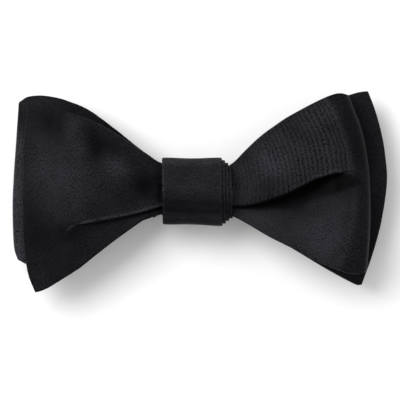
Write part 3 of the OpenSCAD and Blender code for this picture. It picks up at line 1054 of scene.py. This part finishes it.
def fold_piece(name, x, z_top, z_low, side, a, b):
    """The soft bend between two lengths of band, at x, bulging out to side."""
    radius = (z_top - z_low) / 2
    tuck = 1.2
    path = [(x - side * tuck, z_top), (x - side * tuck / 2, z_top)]
    path += [(x + side * radius * math.cos(a), (z_top + z_low) / 2 - radius * math.sin(a))
             for a in np.linspace(-math.pi / 2, math.pi / 2, 9)]
    path += [(x - side * tuck / 2, z_low), (x - side * tuck, z_low)]
    grid = strip_grid(path, BAND_HALF - BAND_T / 2, 0.3)
    piece = shell(name, grid, ribbon_thickness(grid.shape[:2]), edge=1.0)
    finish_piece(piece, BAND_SILK, b, (), (a, b, (x, 0, z_top), (x, 0, z_low)))
    return piece


def layer_z(node):
    """Height of the middle of a band length's cloth."""
    return cad(node)[1][2] - BAND_T / 2


END_Z = layer_z("band_right_3")
for side, word in ((1, "right"), (-1, "left")):
    inner, middle = f"band_{word}_1", f"band_{word}_2"
    z = [layer_z("band_middle"), layer_z(inner), layer_z(middle), END_Z]
    bodies = ["bow", f"{word}_inner", f"{word}_middle", f"{word}_end"]
    ends = sorted((abs(cad(inner)[0][0]), abs(cad(inner)[1][0])))
    for k, (x, out) in enumerate(((ends[1], 1), (ends[0], -1), (ends[1], 1))):
        name = f"fold_{word}_{k + 1}"
        fold_piece(name, side * x, z[k], z[k + 1], side * out, *bodies[k : k + 2])
    band_piece(inner, bodies[1], 1.0)
    band_piece(middle, bodies[2], 2.2)
band_piece("band_middle", "bow", 0.0)
band_piece("band_right_3", "right_end", 3.1)


# ---------------------------------------------------------------- band ends, tacks and fittings
BAR_INSET = 1.65  # from a looped end's tip to the bar that it goes round
BAR_Z = 1.75


def left_end():
    low, high = cad("band_left_3")
    bar_x, bar_z = high[0] - BAR_INSET, BAR_Z
    path = [(low[0] + 0.5, END_Z), (low[0] + 8, END_Z), (bar_x - 8, END_Z), (bar_x - 3.2, END_Z)]
    path += [(bar_x - 1.2, END_Z + 0.45)]
    path += arc(bar_x, bar_z, 1.24, 88, -88)
    path += [(bar_x - 1.6, 0.5), (bar_x - 4, 0.5), (bar_x - 10, 0.52), (bar_x - 16, 0.5)]
    piece = shell("ribbon_left_3", strip_grid(path, BAND_HALF - 0.42), 0.8)
    finish_piece(piece, BAND_SILK, "left_end", ["band_left_3"])


def strap():
    slide_low, slide_high = cad("adjuster_slide")
    slide_x = (slide_low[0] + slide_high[0]) / 2
    bar_x, bar_z = cad("hook_strap")[0][0] + BAR_INSET, BAR_Z
    path = [(bar_x + 9.5, 0.84), (bar_x + 4.5, 0.84), (bar_x + 2.1, 1.1), (bar_x + 1.1, 2.4)]
    path += arc(bar_x, bar_z, 1.3, 92, 268)
    path += [(bar_x + 2, 0.3), (bar_x + 5, 0.28), (slide_x - 3, 0.26), (slide_x, 0.17)]
    path += [(slide_x + 0.85, 0.25), (slide_x + 1.2, 0.7), (slide_x + 0.85, 1.16), (slide_x, 1.24)]
    path += [(slide_x - 1.6, 1.2), (slide_x - 3.4, 0.86), (bar_x + 9.7, 0.82)]
    grid = strip_grid(path, BAND_HALF - 0.3, 0.55)
    thick = np.where(grid[..., 0] > slide_x - 2.4, 0.3, 0.44)
    piece = shell("strap_to_hook", grid, thick)
    finish_piece(piece, BAND_SILK, "adjuster", ["hook_strap"])


def zigzag(name, node, body):
    """Bar of machine stitches in the place of a CAD tack."""
    low, high = cad(node)
    n = 23
    y = np.linspace(low[1] + 0.2, high[1] - 0.2, n)
    odd = np.arange(n) % 2
    x = np.where(odd, low[0] + 0.15, high[0] - 0.15)
    z = np.where(odd, low[2] + 0.1, high[2] - 0.02)
    piece = tube(name, catmull(np.stack([x, y, z], -1), 5), 0.13, sides=8)
    finish_piece(piece, THREAD, body, [node])


left_end()
strap()
zigzag("left_end_tack", "band_left_tack", "left_end")
zigzag("strap_tack", "hook_strap_tack", "adjuster")

EDGE_ROUND = 0.14 * MM
SHARP = math.radians(40)
for node in ("adjuster_slide", "hook", "eye"):
    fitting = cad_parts[node]
    weld = fitting.modifiers.new("weld", "WELD")
    weld.merge_threshold = 1e-6
    soften = fitting.modifiers.new("rounded_edges", "BEVEL")
    soften.width = EDGE_ROUND
    soften.segments = 3
    soften.limit_method = "ANGLE"
    soften.angle_limit = SHARP
    fitting.data.materials.clear()
    fitting.data.materials.append(METAL)


# ---------------------------------------------------------------- stage and light
def make_floor():
    data = bpy.data.meshes.new("floor")
    s = 3.0
    data.from_pydata([(-s, -s, 0), (s, -s, 0), (s, s, 0), (-s, s, 0)], [], [(0, 1, 2, 3)])
    floor = bpy.data.objects.new("floor", data)
    bpy.context.collection.objects.link(floor)
    m = Nodes("white_floor")
    m.shader.inputs["Base Color"].default_value = (0.95, 0.95, 0.95, 1)
    m.shader.inputs["Roughness"].default_value = 0.9
    m.shader.inputs["Specular IOR Level"].default_value = 0.1
    floor.data.materials.append(m.mat)


def area_light(name, place, size, power, colour=(1, 1, 1)):
    data = bpy.data.lights.new(name, "AREA")
    data.shape = "RECTANGLE"
    data.size, data.size_y = size
    data.energy = power
    data.color = colour
    light = bpy.data.objects.new(name, data)
    light.location = place
    direction = -light.location
    light.rotation_euler = direction.to_track_quat("-Z", "Y").to_euler()
    bpy.context.collection.objects.link(light)


def make_light():
    world = bpy.data.worlds.new("studio")
    world.use_nodes = True
    world.node_tree.nodes["Background"].inputs[0].default_value = (1, 1, 1, 1)
    world.node_tree.nodes["Background"].inputs[1].default_value = 0.68
    bpy.context.scene.world = world
    area_light("key", (-0.5, 0.4, 0.87), (0.65, 0.65), 9.0)
    area_light("top_fill", (0.1, 0.75, 0.55), (0.5, 0.3), 0.8)
    bpy.context.scene.view_settings.view_transform = "Standard"
    bpy.context.scene.view_settings.look = "None"


make_floor()
make_light()
